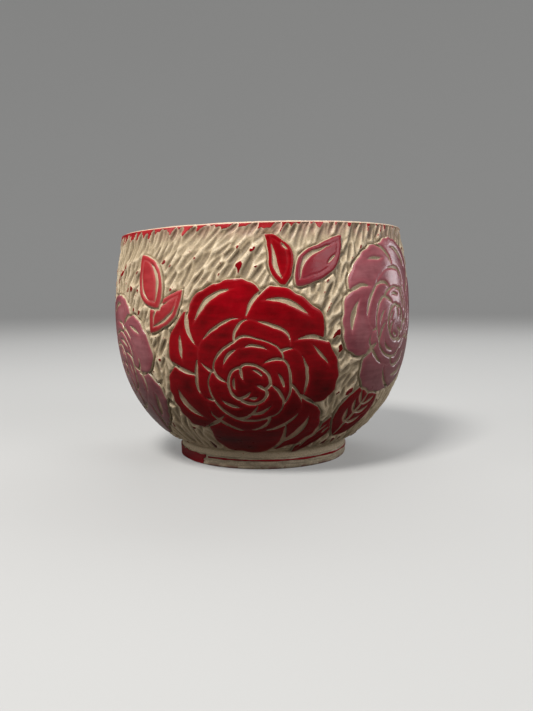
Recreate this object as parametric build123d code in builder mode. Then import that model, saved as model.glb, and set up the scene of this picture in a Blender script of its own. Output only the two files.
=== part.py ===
from build123d import *
from dataclasses import dataclass
from math import acos, atan2, cos, degrees, hypot, pi, radians, sin
import os

# A thrown cup in buff clay, coated with coloured slip that is carved away round a pattern of blooms and leaves.
# Millimetres, +Z up. The origin is on the table under the centre of the foot. Azimuth 0 is the front of the cup,
# the -Y side, and azimuths grow towards +X.

# Bowl
cup_radius = 46.0
cup_height = 69.4
rim_radius = 43.3
rim_tilt = 1.17
wall_thickness = 3.6
floor_thickness = 4.4
lip_rounding = 1.1

# Foot ring
foot_height = 3.3
foot_radius = 26.5
foot_width = 6.0
foot_edge = 0.5
recess_depth = 4.6

# Slip and glaze
slip_depth = 0.9
rim_slip_depth = 0.35
glaze_thickness = 0.35
glaze_clearance = 0.08
glaze_drop = 1.6
foot_slip_thickness = 0.25
foot_line_width = 0.55
foot_line_drop = 0.4
patch_azimuth = -104
patch_sweep = 62
line_sweep = 166

# Rim slip band
band_drop = 1.2
band_width = 1.5
band_scallop = 2.6
band_scallops = 18

# Carving
groove_width = 0.8
stroke_width = 1.1
vein_width = 0.8
fleck_length = 2.6
fleck_width = 0.9

# The largest bloom's radius, which leaves room for the pattern both up the bowl and round it
pattern_height_share = 0.3602
pattern_round_share = 0.0867
pattern_radius = min(cup_height * pattern_height_share, 2 * pi * cup_radius * pattern_round_share)

# Leaves and buds, from base to tip, as shares of that radius
small_leaf_share = 0.6
leaf_share = 0.76
long_leaf_share = 1.04
bud_share = 0.66

# How far cutting tools reach past the clay
overrun = 3.0

# Shares of the foot's and the bowl's own sizes that shape the outline
joint_radius_share = 0.93
low_pull_shares = (1.08, 0.25)
high_pull_shares = (1.045, 0.665)
inside_flat_share = 0.38
inside_low_share = 0.783
inside_high_shares = (1.157, 0.408)

# How unlike each other a whorl's petals are: their sway in degrees, and the phases from one to the next
petal_sway = 10
sway_phase = 2.3
spread_phase = 2.6
size_phase = 1.9

# Strokes in the petals: a parting starts outside the petal's edge, a fold lies between shares of its half sweep
parting_lead_share = 0.13
fold_step = 2
fold_shares = (-0.2, 1.1)

# Cuts in the leaves, along the middle line and from it towards the edge
plain_cut_shares = (0.16, 0.84)
plain_cut_rise_share = 0.42
main_vein_shares = (-0.1, 0.86)
side_vein_shares = (0.22, 0.72)
side_vein_length_share = 0.2
side_vein_reach_share = 0.6
side_vein_bow_share = 0.8

# The scalloped edge of the band under the rim, and the lie of the flecks, in degrees
scallop_seat_share = 0.62
scallop_unevenness_share = 0.2
scallop_sway = 5
fleck_slope = 60
fleck_sway = 20
place_phase = 2.7


@dataclass
class Bloom:
    """An open flower: a whorl of outer petals, a whorl of cupped inner ones and a heart."""

    name: str
    azimuth: float
    height_share: float
    radius_share: float
    petals: int
    turn: float
    step: int
    lean_shares: tuple

    @property
    def radius(self):
        return pattern_radius * self.radius_share


@dataclass
class WhorlKind:
    """How a whorl's petals lie. Reach and size are shares of the bloom's radius, angles are in degrees."""

    reach_share: float
    size_share: float
    turn: float
    spread: float
    unevenness_share: float
    parting_share: float
    fold_share: float
    stroke: float


@dataclass
class Leaf:
    """A pointed leaf or bud. The bulges left and right of its chord are shares of its length."""

    name: str
    azimuth: float
    height_share: float
    length_share: float
    direction: float
    bulge_shares: tuple
    veins: int

    @property
    def length(self):
        return pattern_radius * self.length_share


outer_kind = WhorlKind(0.62, 0.34, 0, 14, 0.14, 0.50, 0.52, stroke_width)
inner_kind = WhorlKind(0.27, 0.18, 35, 26, 0.16, 0.60, 0.40, vein_width)
heart_kind = WhorlKind(0.125, 0.10, 70, 34, 0.14, 0.70, 0.0, vein_width)
inner_count = 5
heart_count = 3

blooms = [
    Bloom("front_bloom", -4, 0.43, 1.0, 7, 102, 1, (0.0, -0.06)),
    Bloom("right_bloom", 54, 0.635, 0.88, 6, 70, -1, (0.05, -0.04)),
    Bloom("left_bloom", -66, 0.425, 0.84, 6, 84, 1, (-0.05, 0.05)),
    Bloom("back_bloom", 176, 0.46, 1.0, 7, 65, -1, (0.03, 0.05)),
]

leaves = [
    Leaf("bud_high", -42, 0.785, bud_share, 119, (0.20, -0.20), 0),
    Leaf("bud_low", -34.5, 0.665, bud_share, 44, (0.22, -0.22), 0),
    Leaf("leaf_upright", 4, 0.86, small_leaf_share, 110, (0.06, -0.32), 0),
    Leaf("leaf_leaning", 20, 0.855, leaf_share, 44, (0.22, -0.16), 0),
    Leaf("leaf_veined", 41, 0.27, leaf_share, 70, (0.30, -0.32), 3),
    Leaf("leaf_small", 26, 0.155, small_leaf_share, 62, (0.20, -0.16), 0),
    Leaf("leaf_right_high", 98, 0.79, long_leaf_share, 38, (0.24, -0.24), 3),
    Leaf("leaf_right_low", 104, 0.30, long_leaf_share, -58, (0.26, -0.25), 4),
    Leaf("bud_right", 123, 0.60, bud_share, 112, (0.24, -0.20), 0),
    Leaf("leaf_right_back", 131, 0.24, leaf_share, 74, (0.20, -0.24), 0),
    Leaf("leaf_left_high", -120, 0.79, long_leaf_share, 142, (0.24, -0.26), 4),
    Leaf("leaf_left_low", -112, 0.31, long_leaf_share, 236, (0.26, -0.26), 3),
    Leaf("bud_left", -105, 0.57, bud_share, 78, (0.20, -0.24), 0),
    Leaf("leaf_left_back", -137, 0.40, leaf_share, 115, (0.20, -0.20), 0),
]

fleck_places = [
    (-72, 0.84), (-60, 0.79), (-52, 0.62), (-30, 0.86), (-22, 0.90), (-14, 0.84), (-9, 0.90), (8, 0.79),
    (80, 0.30), (104, 0.50), (136, 0.86), (150, 0.84), (186, 0.88), (-148, 0.86), (-118, 0.55), (-88, 0.78),
]


def front_of(azimuth, height=0.0):
    """A plane through the cup's axis at this height, facing outwards at this azimuth."""
    a = radians(azimuth)
    return Plane(origin=(0, 0, height), x_dir=(cos(a), sin(a), 0), z_dir=(sin(a), -cos(a), 0))


def rim_plane(drop=0.0):
    """The tilted plane of the rim, this far below its top, facing up."""
    a = radians(rim_tilt)
    return Plane(origin=(0, 0, cup_height - drop), z_dir=(-sin(a), 0, cos(a)))


def inset(points, depth):
    """Moves a curve's control points this far to their left. The end ones slide level."""
    normals = []
    for (r0, z0), (r1, z1) in zip(points, points[1:]):
        leg = hypot(r1 - r0, z1 - z0)
        normals.append(((z0 - z1) / leg, (r1 - r0) / leg))
    moved = [(points[0][0] + depth / normals[0][0], points[0][1])]
    for (r, z), (ar, az), (br, bz) in zip(points[1:-1], normals, normals[1:]):
        fit = 1 + ar * br + az * bz
        moved.append((r + depth * (ar + br) / fit, z + depth * (az + bz) / fit))
    return moved + [(points[-1][0] + depth / normals[-1][0], points[-1][1])]


# Outlines in the half plane of radius and height, from the foot up
joint_radius = foot_radius * joint_radius_share
coat_curve = [
    (joint_radius, foot_height),
    (cup_radius * low_pull_shares[0], cup_height * low_pull_shares[1]),
    (cup_radius * high_pull_shares[0], cup_height * high_pull_shares[1]),
    (rim_radius, cup_height),
]
ground_curve = inset(coat_curve, slip_depth)[:-1] + [(rim_radius - rim_slip_depth, cup_height)]
floor_height = recess_depth + floor_thickness
inside_radius = rim_radius - wall_thickness
inside_belly = cup_radius - wall_thickness
inside_curve = [
    (inside_belly * inside_flat_share, floor_height),
    (inside_belly * inside_low_share, floor_height),
    (inside_belly * inside_high_shares[0], cup_height * inside_high_shares[1]),
    (inside_radius, cup_height),
]


def lining(depth):
    """The inside curve, this much further in."""
    rises = (depth, depth, 0, 0)
    return [(r - depth, z + rise) for (r, z), rise in zip(inside_curve, rises)]


recess_radius = foot_radius - foot_width


def risen(curve, rise):
    """The point where a curve's end tangent reaches this much higher."""
    (r0, z0), (r1, z1) = curve[-2:]
    return (r1 + (r1 - r0) * rise / (z1 - z0), z1 + rise)


def ring_between(outer, inner, *low):
    """Draws the section between two curves, carried up past the rim, and closes it through the low points."""
    with BuildLine() as outline:
        Bezier(*outer)
        Polyline(outer[-1], risen(outer, overrun), risen(inner, overrun), inner[-1])
        Bezier(*inner)
        Polyline(inner[0], *low, outer[0])
    make_face(outline.edges())


def arc_face(start, end, high, low, mode=Mode.ADD):
    """Fills between two arcs from start to end, whose middles stand high and low to the left of the chord."""
    along = Vector(*end) - Vector(*start)
    left = Vector(-along.Y, along.X) / along.length
    middle = (Vector(*start) + Vector(*end)) / 2
    with BuildLine() as outline:
        ThreePointArc(start, middle + left * high, end)
        ThreePointArc(end, middle + left * low, start)
    make_face(outline.edges(), mode=mode)


def cut_along(centre, radius, start, end, width):
    """Cuts a crescent on the inner side of a circle's arc, from one angle in radians to another."""
    points = [(centre[0] + radius * cos(a), centre[1] + radius * sin(a)) for a in (start, end)]
    rise = radius * (1 - cos(abs(end - start) / 2))
    if end < start:
        points.reverse()
    arc_face(points[1], points[0], rise, rise - width, mode=Mode.SUBTRACT)


class Whorl:
    """Petals round a centre. Each is a slot along an arc, and a disc fills the middle."""

    def __init__(self, bloom, kind, count, leans):
        self.kind = kind
        self.step = bloom.step
        self.centre = tuple(leans * share * bloom.radius for share in bloom.lean_shares)
        self.reach = bloom.radius * kind.reach_share
        self.petals = []
        turn = bloom.turn + kind.turn
        for k in range(count):
            middle = radians(turn + 360 * k / count + petal_sway * sin(sway_phase * k + turn))
            half = radians(kind.spread) * (1 + kind.unevenness_share * cos(spread_phase * k + turn))
            size = 1 + kind.unevenness_share * sin(size_phase * k + turn)
            self.petals.append((middle, half, size * bloom.radius * kind.size_share))

    def at(self, angle, distance):
        return (self.centre[0] + distance * cos(angle), self.centre[1] + distance * sin(angle))

    def draw(self, growth=0.0, mode=Mode.ADD):
        with Locations(self.centre):
            Circle(self.reach + growth, mode=mode)
        for middle, half, size in self.petals:
            with BuildLine() as spine:
                CenterArc(self.centre, self.reach, degrees(middle - half), degrees(2 * half))
            SlotArc(spine.edge(), 2 * (size + growth), mode=mode)

    def part_petals(self):
        """Cuts along each petal's edge, from where its neighbour comes out from under it, inwards."""
        for k, (middle, half, size) in enumerate(self.petals):
            next_middle, next_half, next_size = self.petals[(k + self.step) % len(self.petals)]
            end = self.at(middle + self.step * half, self.reach)
            other = self.at(next_middle - self.step * next_half, self.reach)
            gap = hypot(other[0] - end[0], other[1] - end[1])
            if gap >= size + next_size or gap <= abs(size - next_size):
                continue
            towards = atan2(other[1] - end[1], other[0] - end[0])
            swing = acos((size**2 + gap**2 - next_size**2) / (2 * size * gap))
            meeting = towards - self.step * swing
            inward = atan2(self.centre[1] - end[1], self.centre[0] - end[0])
            turn = self.step * ((self.step * (inward - meeting)) % (2 * pi))
            lead = meeting - turn * parting_lead_share
            cut_along(end, size, lead, meeting + turn * self.kind.parting_share, self.kind.stroke)

    def fold_petals(self):
        """Cuts a crescent inside every so many petals, along their outer edge and clear of the petal beneath."""
        for middle, half, size in self.petals[::fold_step]:
            radius = self.reach + size * self.kind.fold_share
            start, end = (middle + self.step * half * share for share in fold_shares)
            cut_along(self.centre, radius, start, end, self.kind.stroke)


def points_of(leaf):
    """Where the leaf's base and tip are on its plane."""
    half = leaf.length / 2
    along = (half * cos(radians(leaf.direction)), half * sin(radians(leaf.direction)))
    return (-along[0], -along[1]), along


def on_leaf(leaf, along_share, side_share):
    """The point at this share of the leaf's middle line, moved to its left."""
    base, tip = points_of(leaf)
    bow = sum(leaf.bulge_shares) / 2 * 4 * along_share * (1 - along_share)
    x = base[0] + (tip[0] - base[0]) * along_share - (tip[1] - base[1]) * (bow + side_share)
    y = base[1] + (tip[1] - base[1]) * along_share + (tip[0] - base[0]) * (bow + side_share)
    return (x, y)


def draw_leaf(leaf, growth=0.0):
    base, tip = points_of(leaf)
    stretch = 1 + 4 * growth / leaf.length
    left, right = (share * leaf.length for share in leaf.bulge_shares)
    arc_face(
        (base[0] * stretch, base[1] * stretch), (tip[0] * stretch, tip[1] * stretch), left + growth, right - growth
    )


def cut_leaf(leaf):
    """Cuts one long crescent in a plain leaf, or a middle vein and pairs of side veins."""
    bow = sum(leaf.bulge_shares) / 2 * leaf.length
    if not leaf.veins:
        high = (bow + max(leaf.bulge_shares) * leaf.length) * plain_cut_rise_share
        start, end = (on_leaf(leaf, share, 0) for share in plain_cut_shares)
        arc_face(start, end, high, high - stroke_width, mode=Mode.SUBTRACT)
        return
    start, end = (on_leaf(leaf, share, 0) for share in main_vein_shares)
    arc_face(start, end, bow + vein_width / 2, bow - vein_width / 2, mode=Mode.SUBTRACT)
    first_share, last_share = side_vein_shares
    for k in range(leaf.veins):
        start_share = first_share + (last_share - first_share) * k / leaf.veins
        for side, edge_share in zip((1, -1), leaf.bulge_shares):
            start = on_leaf(leaf, start_share, 0)
            end = on_leaf(leaf, start_share + side_vein_length_share, edge_share * side_vein_reach_share)
            rise = side * vein_width * side_vein_bow_share
            arc_face(start, end, rise + vein_width / 2, rise - vein_width / 2, mode=Mode.SUBTRACT)


# Prisms that keep later pieces a groove's width away from the ones drawn before them
clearings = []


def near(azimuth, height, reach):
    """The clearings that a piece this big can meet."""
    met = []
    for at, up, size, prism in clearings:
        round_wall = cup_radius * radians((at - azimuth + 180) % 360 - 180)
        if hypot(round_wall, up - height) < size + reach + overrun:
            met.append(prism)
    return met


def island(azimuth, height, reach, draw):
    """What the carver left standing of the coat inside this drawing."""
    with BuildPart() as piece:
        with BuildSketch(front_of(azimuth, height)):
            draw()
        extrude(amount=reach_out)
        add(carved_coat.part, mode=Mode.INTERSECT)
        neighbours = near(azimuth, height, reach)
        if neighbours:
            add(neighbours, mode=Mode.SUBTRACT)
    return piece


def clear_round(azimuth, height, reach, draw):
    with BuildPart() as prism:
        with BuildSketch(front_of(azimuth, height)):
            draw()
        extrude(amount=reach_out)
    clearings.append((azimuth, height, reach, prism.part))


def keep(piece, label):
    piece.part.label = label
    export_step(piece.part, f"parts/{label}.step")


os.makedirs("parts", exist_ok=True)
reach_out = max(radius for radius, _ in coat_curve) + overrun

# The bowl's clay, up to the carved ground, with its floor and lip
with BuildPart() as clay_wall:
    with BuildSketch(Plane.XZ):
        underside = [(0, recess_depth), (recess_radius, recess_depth), (recess_radius, foot_height)]
        ring_between(ground_curve, inside_curve, (0, floor_height), *underside)
    revolve(axis=Axis.Z)
    split(bisect_by=rim_plane(), keep=Keep.BOTTOM)
    fillet(clay_wall.faces().sort_by(Axis.Z)[-1].edges(), lip_rounding)
keep(clay_wall, "clay_wall")

# The foot ring, turned square under the bowl
with BuildPart() as foot_ring:
    with BuildSketch(Plane.XZ):
        with Locations((recess_radius, 0)):
            Rectangle(foot_width, foot_height, align=Align.MIN)
        fillet(vertices().group_by(Axis.Y)[0], foot_edge)
    revolve(axis=Axis.Z)
keep(foot_ring, "foot_ring")

# The glassy skin on the inside, up to a little below the lip
with BuildPart() as liner_glaze:
    with BuildSketch(Plane.XZ):
        back, front = lining(glaze_clearance), lining(glaze_clearance + glaze_thickness)
        ring_between(back, front, (0, front[0][1]), (0, back[0][1]))
    revolve(axis=Axis.Z)
    split(bisect_by=rim_plane(glaze_drop), keep=Keep.BOTTOM)
keep(liner_glaze, "liner_glaze")

# The whole coat of slip, and what the carving left of it: a ragged band under the lip and the islands below
with BuildPart() as coat:
    with BuildSketch(Plane.XZ):
        ring_between(coat_curve, ground_curve)
    revolve(axis=Axis.Z)

with BuildPart() as carved_coat:
    add(coat.part)
    split(bisect_by=rim_plane(band_drop + band_width + groove_width), keep=Keep.BOTTOM)

with BuildPart() as scallops:
    for k in range(band_scallops):
        angle = 360 * k / band_scallops + scallop_sway * sin(place_phase * k)
        drop = band_drop + band_width + band_scallop * scallop_seat_share
        with BuildSketch(front_of(angle, cup_height - drop).offset(inside_radius)):
            Circle(band_scallop * (1 + scallop_unevenness_share * sin(size_phase * k)))
    extrude(amount=reach_out - inside_radius)

with BuildPart() as rim_slip_band:
    add(coat.part)
    split(bisect_by=rim_plane(band_drop), keep=Keep.BOTTOM)
    split(bisect_by=rim_plane(band_drop + band_width), keep=Keep.TOP)
    add(scallops.part, mode=Mode.SUBTRACT)
keep(rim_slip_band, "rim_slip_band")

# The blooms, front one first, so that each later piece is cut back behind the earlier ones
for bloom in blooms:
    height = bloom.height_share * cup_height
    outer = Whorl(bloom, outer_kind, bloom.petals, 0)
    inner = Whorl(bloom, inner_kind, inner_count, 1)
    heart = Whorl(bloom, heart_kind, heart_count, 2)
    half_groove = groove_width / 2

    def draw_petals():
        outer.draw()
        outer.part_petals()
        outer.fold_petals()
        inner.draw(half_groove, Mode.SUBTRACT)

    def draw_inner():
        inner.draw(-half_groove)
        inner.part_petals()
        inner.fold_petals()
        heart.draw(half_groove, Mode.SUBTRACT)

    def draw_heart():
        heart.draw(-half_groove)
        heart.part_petals()

    for label, draw in (("petals", draw_petals), ("inner_petals", draw_inner), ("heart", draw_heart)):
        keep(island(bloom.azimuth, height, bloom.radius, draw), f"{bloom.name}_{label}")
    clear_round(bloom.azimuth, height, bloom.radius, lambda: outer.draw(groove_width))

for leaf in leaves:
    height = leaf.height_share * cup_height

    def draw_whole():
        draw_leaf(leaf)
        cut_leaf(leaf)

    keep(island(leaf.azimuth, height, leaf.length / 2, draw_whole), leaf.name)
    clear_round(leaf.azimuth, height, leaf.length / 2, lambda: draw_leaf(leaf, groove_width))

# Crumbs of slip on the ridges of the carved ground
neighbours = []
with BuildPart() as slip_flecks:
    for k, (azimuth, height_share) in enumerate(fleck_places):
        height = height_share * cup_height
        with BuildSketch(front_of(azimuth, height).offset(joint_radius)):
            slope = radians(fleck_slope + fleck_sway * sin(place_phase * k))
            half = (fleck_length / 2 * cos(slope), fleck_length / 2 * sin(slope))
            arc_face((-half[0], -half[1]), half, fleck_width / 2, -fleck_width / 2)
        neighbours += [prism for prism in near(azimuth, height, fleck_length) if prism not in neighbours]
    extrude(amount=reach_out - joint_radius)
    add(carved_coat.part, mode=Mode.INTERSECT)
    if neighbours:
        add(neighbours, mode=Mode.SUBTRACT)
keep(slip_flecks, "slip_flecks")


# Painted slip on the outside of the foot ring: a patch at the left and a thin line round from it
line_low = foot_height - foot_line_drop - foot_line_width
painted = (
    ("foot_slip_patch", patch_azimuth, patch_sweep, foot_edge, foot_height),
    ("foot_slip_line", patch_azimuth + patch_sweep, line_sweep, line_low, line_low + foot_line_width),
)
for label, azimuth, sweep, low, high in painted:
    with BuildPart() as paint:
        with BuildSketch(Plane.XZ.rotated((0, 0, azimuth - 90))):
            with Locations((foot_radius, low)):
                Rectangle(foot_slip_thickness, high - low, align=Align.MIN)
        revolve(axis=Axis.Z, revolution_arc=sweep)
    keep(paint, label)
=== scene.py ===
from math import acos, atan2, cos, hypot, pi, radians, sin

import bpy
import numpy as np
from mathutils import Matrix, Vector


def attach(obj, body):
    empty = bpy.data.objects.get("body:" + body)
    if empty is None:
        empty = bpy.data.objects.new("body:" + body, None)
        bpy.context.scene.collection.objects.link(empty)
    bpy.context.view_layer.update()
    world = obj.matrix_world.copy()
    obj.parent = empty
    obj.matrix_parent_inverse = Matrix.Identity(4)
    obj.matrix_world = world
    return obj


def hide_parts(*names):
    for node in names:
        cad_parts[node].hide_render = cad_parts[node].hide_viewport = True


# The carved sgraffito cup. Lengths are millimetres, as on the cup, and become metres when a mesh is made.
# Azimuth 0 is the front, the -Y side, and grows towards +X.

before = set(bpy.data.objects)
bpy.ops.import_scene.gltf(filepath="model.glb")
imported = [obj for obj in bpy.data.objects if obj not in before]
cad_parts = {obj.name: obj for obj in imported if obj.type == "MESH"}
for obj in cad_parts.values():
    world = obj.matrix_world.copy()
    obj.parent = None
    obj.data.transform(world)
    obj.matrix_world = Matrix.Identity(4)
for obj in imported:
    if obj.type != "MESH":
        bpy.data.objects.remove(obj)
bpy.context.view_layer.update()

MM = 0.001
GLOBAL_SEED = 7

# Bowl and foot, as in the solids
CUP_RADIUS = 46.0
CUP_HEIGHT = 69.4
RIM_RADIUS = 43.3
RIM_TILT = radians(1.17)
WALL_THICKNESS = 3.6
FLOOR_THICKNESS = 4.4
FOOT_HEIGHT = 3.3
FOOT_RADIUS = 26.5
FOOT_WIDTH = 6.0
RECESS_DEPTH = 4.6
RIM_SLIP_DEPTH = 0.35
GLAZE_THICKNESS = 0.35
GLAZE_CLEARANCE = 0.08
GLAZE_DROP = 1.6
JOINT_RADIUS = FOOT_RADIUS * 0.93

COAT_CURVE = [
    (JOINT_RADIUS, FOOT_HEIGHT),
    (CUP_RADIUS * 1.08, CUP_HEIGHT * 0.25),
    (CUP_RADIUS * 1.045, CUP_HEIGHT * 0.665),
    (RIM_RADIUS, CUP_HEIGHT),
]
FLOOR_HEIGHT = RECESS_DEPTH + FLOOR_THICKNESS
BELLY = CUP_RADIUS - WALL_THICKNESS
INSIDE_CURVE = [
    (BELLY * 0.38, FLOOR_HEIGHT),
    (BELLY * 0.783, FLOOR_HEIGHT),
    (BELLY * 1.157, CUP_HEIGHT * 0.408),
    (RIM_RADIUS - WALL_THICKNESS, CUP_HEIGHT),
]

# Carving. A depth is how far a place lies under the slip's own surface.
GROUND_DEPTH = 0.95
STROKE_FLOOR = 0.55
SLIP_LEVEL = 0.15
SLIP_THICKNESS = 0.22
GROOVE_WIDTH = 0.8
STROKE_WIDTH = 1.15
VEIN_WIDTH = 0.85
TOP_MARGIN = 3.5
OUTSIDE = -99.0

# Blooms and leaves. A layer of unevenness has its height, its size and, unless two share it, its seed.
RUFFLE = 0.16
NOTCH_ANGLE = 15.5
LEAF_SWAY = 0.035
TIP_NARROWING = 0.5
LOOP_INSET = 1.55
SMALL_LEAF, LEAF, LONG_LEAF, BUD = 15.0, 19.0, 26.0, 16.5
HAND_SWAY = (0.42, 6.0)
HAND_NICK = (0.14, 1.5)

# The islands' tops, rounded towards the edge, and their roots
ISLAND_PITCH = 0.33
SURFACE_DEPTH = 0.10
SURFACE_WAVE = (0.05, 7.0, 5)
EDGE_ROUNDING, EDGE_REACH = 0.16, 0.5
BEVEL_GROWTH, BEVEL_DEPTH = 0.06, 0.30
ROOT_GROWTH, ROOT_DEPTH = 0.42, 1.35
REMNANT_GROWTHS, REMNANT_DEPTHS = (0.03, 0.08), (0.14, 0.24, 0.5)
REMNANT_WAVE = (0.02, 1.5, 41)

# The wall's grid and its lip
CARVE_COLUMNS = 1728
CARVE_ROWS = 400
WALL_STEP = 2
BLOCK = 4
HIDDEN_INSET = 2.2
WALL_LOW = FOOT_HEIGHT + 1.3
LIP_DROP = 0.5
LIP_ROUGHNESS = 0.07
LIP_STEPS = 10
TILT_START = 30.0
ROUGH_SIZES = (4.0, 6.0)
JOINT_RINGS = ((0.12, 1.1), (0.34, 0.66), (0.40, 0.26), (0.34, 0))
JOINT_ROUGHNESS = 0.05
# The cavity of the plain parts, and a higher one at the middle of the recess, which is painted shade
PLAIN_CAVITY, RECESS_SHADE = 0.15, 0.3

# Gouges: rows and spacing, the ranges of their sizes, and how they lean
GOUGE_ROW = 4.8
GOUGE_SPACING = 1.9
SIDE_STRAY, ROW_STRAY = 0.35, 0.45
HALF_LENGTHS = (2.8, 5.6)
GOUGE_DEPTHS = (0.66, 1.05)
TOOL_RADII = (0.40, 0.95)
TOOL_POWERS = (1.8, 3.6)
TOOL_TAPER, TOOL_PLUNGE = 0.35, 0.2
GOUGE_BEND, GOUGE_SKEW = 0.02, 0.16
GOUGE_MARGIN = 0.8
RIM_OVERRUN = 0.4
TONGUE = 3.0
LEAN = radians(62)
LEAN_WAVE = (0.30, 14, 11)
LEFT_LEAN, LEFT_WIDTH = radians(22), 0.6
LOW_LEAN, LOW_TOP, LOW_REACH = radians(26), 30, 20
TURN_SHARE, TURN_REACH = 0.55, 2.6
RIDGE_SHARPNESS = 0.9

# What the gouges leave: slip under the rim and in crumbs, a turned band over the foot, channels round islands
WHOLE_BAND = radians(55)
BAND_REACH = 5.6
BAND_DEPTH, BAND_LIFT = 3.2, 0.6
RAGGED_EDGE = ((1.7, 2.6, 21), (0.7, 1.1, 22))
CRUMBS, CRUMB_LEVEL = ((1.0, 2.0, 24), (0.35, 0.8, 25)), 0.16
GROUND_BASE, BASE_WAVE = 0.26, (0.16, 3.0, 23)
FOOT_BAND, FOOT_BAND_WAVE = 1.6, (0.5, 4.0, 26)
TRIM_DEPTH, TRIM_RIDGE, TRIM_WAVE = 0.80, 0.05, (0.05, 2.0, 27)
CHANNEL_WIDTH, CHANNEL_RISE, CHANNEL_WAVE = 0.55, 0.45, (0.12, 1.6, 29)
CHANNEL_REACH = 1.6
STROKE_WAVE = (0.06, 1.4, 28)

# Foot ring and its paint
FOOT_COLUMNS = 432
FOOT_ROUNDING = 0.5
FOOT_SHOULDER = 0.35
FOOT_DRAW = 0.12
PATCH_START, PATCH_END = radians(-104), radians(-42)
LINE_END = PATCH_END + radians(166)
LINE_WIDTH = 0.55
LINE_HEIGHT = 2.62
LINE_GAP = 1.8
PAINT_PITCH = 0.16
PAINT_LIFTS = (0.088, 0.0, -0.35)
PAINT_GROWTHS = (0.02, 0.02)
PAINT_MARGIN = 3.0

# Liner
LINER_COLUMNS = 288
LINER_DISH = 0.1
THROWING_STEP = 4.6
THROWING_DEPTH = 0.14


def bezier(points, count=400):
    """Points along a Bezier curve with these control points, in rows of radius and height."""
    t = np.linspace(0, 1, count)[:, None]
    p = [np.array(q)[None, :] for q in points]
    return (1 - t) ** 3 * p[0] + 3 * (1 - t) ** 2 * t * p[1] + 3 * (1 - t) * t**2 * p[2] + t**3 * p[3]


class Profile:
    """A surface of revolution by height: its radius and the outward normal of its section."""

    def __init__(self, points):
        path = bezier(points)
        reach = path[-1] + (path[-1] - path[-2]) * 40
        path = np.vstack([path, reach[None, :]])
        step = np.gradient(path, axis=0)
        length = np.hypot(step[:, 0], step[:, 1])
        self.z = path[:, 1]
        self.r = path[:, 0]
        self.nr = step[:, 1] / length
        self.nz = -step[:, 0] / length

    def at(self, z):
        return np.interp(z, self.z, self.r)

    def normal(self, z):
        return np.interp(z, self.z, self.nr), np.interp(z, self.z, self.nz)


coat = Profile(COAT_CURVE)


def full_turn(count):
    """Azimuths that go once round from the back, evenly spaced."""
    return (np.arange(count) / count * 2 - 1) * pi


def around(r, azimuth, z):
    """Points at these distances from the axis, azimuths and heights."""
    return np.stack(np.broadcast_arrays(r * np.sin(azimuth), -r * np.cos(azimuth), z), axis=-1)


def wall_point(azimuth, z, depth=0.0):
    """The points this deep under the coat's surface."""
    nr, nz = coat.normal(z)
    return around(coat.at(z) - depth * nr, azimuth, z - depth * nz)


def rim_height(azimuth, r=RIM_RADIUS):
    """The tilted rim's height at this azimuth."""
    return CUP_HEIGHT + r * np.sin(azimuth) * np.tan(RIM_TILT)


def scatter(ix, iy, iz, seed):
    """A repeatable number from -1 to 1 for each whole-numbered place."""
    h = ix * 73856093 ^ iy * 19349663 ^ iz * 83492791 ^ seed * 2654435761
    h = (h ^ (h >> 13)) * 1274126177 & 0xFFFFFFFF
    h = (h ^ (h >> 16)) * 2246822519 & 0xFFFFFFFF
    return ((h >> 8) & 0xFFFF) / 32767.5 - 1


def noise(points, scale, seed):
    """Smooth noise from -1 to 1 at points in space, with bumps about this large."""
    q = points / scale + 1000
    whole = np.floor(q).astype(np.int64)
    f = q - whole
    f = f * f * (3 - 2 * f)
    total = 0
    for corner in range(8):
        way = (corner & 1, corner >> 1 & 1, corner >> 2)
        share = 1
        for k in range(3):
            share = share * (f[..., k] if way[k] else 1 - f[..., k])
        total = total + share * scatter(*(whole[..., k] + way[k] for k in range(3)), seed + GLOBAL_SEED)
    return total


def layers(points, *rows):
    """Noise in layers, each with its height, its size and its seed."""
    return sum(height * noise(points, size, seed) for height, size, seed in rows)


# Fields of the drawings: how far a point is inside, in millimetres, and negative outside

def disc(x, y, centre, radius):
    return radius - np.hypot(x - centre[0], y - centre[1])


def crescent(x, y, start, end, high, low):
    """Between two arcs from start to end, whose middles stand high and low to the left of the chord."""
    half = hypot(end[0] - start[0], end[1] - start[1]) / 2
    middle = ((start[0] + end[0]) / 2, (start[1] + end[1]) / 2)
    left = ((start[1] - end[1]) / half / 2, (end[0] - start[0]) / half / 2)

    def below(rise):
        rise = rise if abs(rise) > 1e-6 else 1e-6
        radius = (half**2 + rise**2) / (2 * abs(rise))
        off = rise - (radius if rise > 0 else -radius)
        inside = disc(x, y, (middle[0] + left[0] * off, middle[1] + left[1] * off), radius)
        return inside if rise > 0 else -inside

    return np.minimum(below(high), -below(low))


def arc_stroke(x, y, centre, radius, start, end, width):
    """A crescent on the inner side of a circle's arc, from one angle to another."""
    points = [(centre[0] + radius * cos(a), centre[1] + radius * sin(a)) for a in (start, end)]
    rise = radius * (1 - cos(abs(end - start) / 2))
    if end < start:
        points.reverse()
    return crescent(x, y, points[1], points[0], rise, rise - width)


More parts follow.
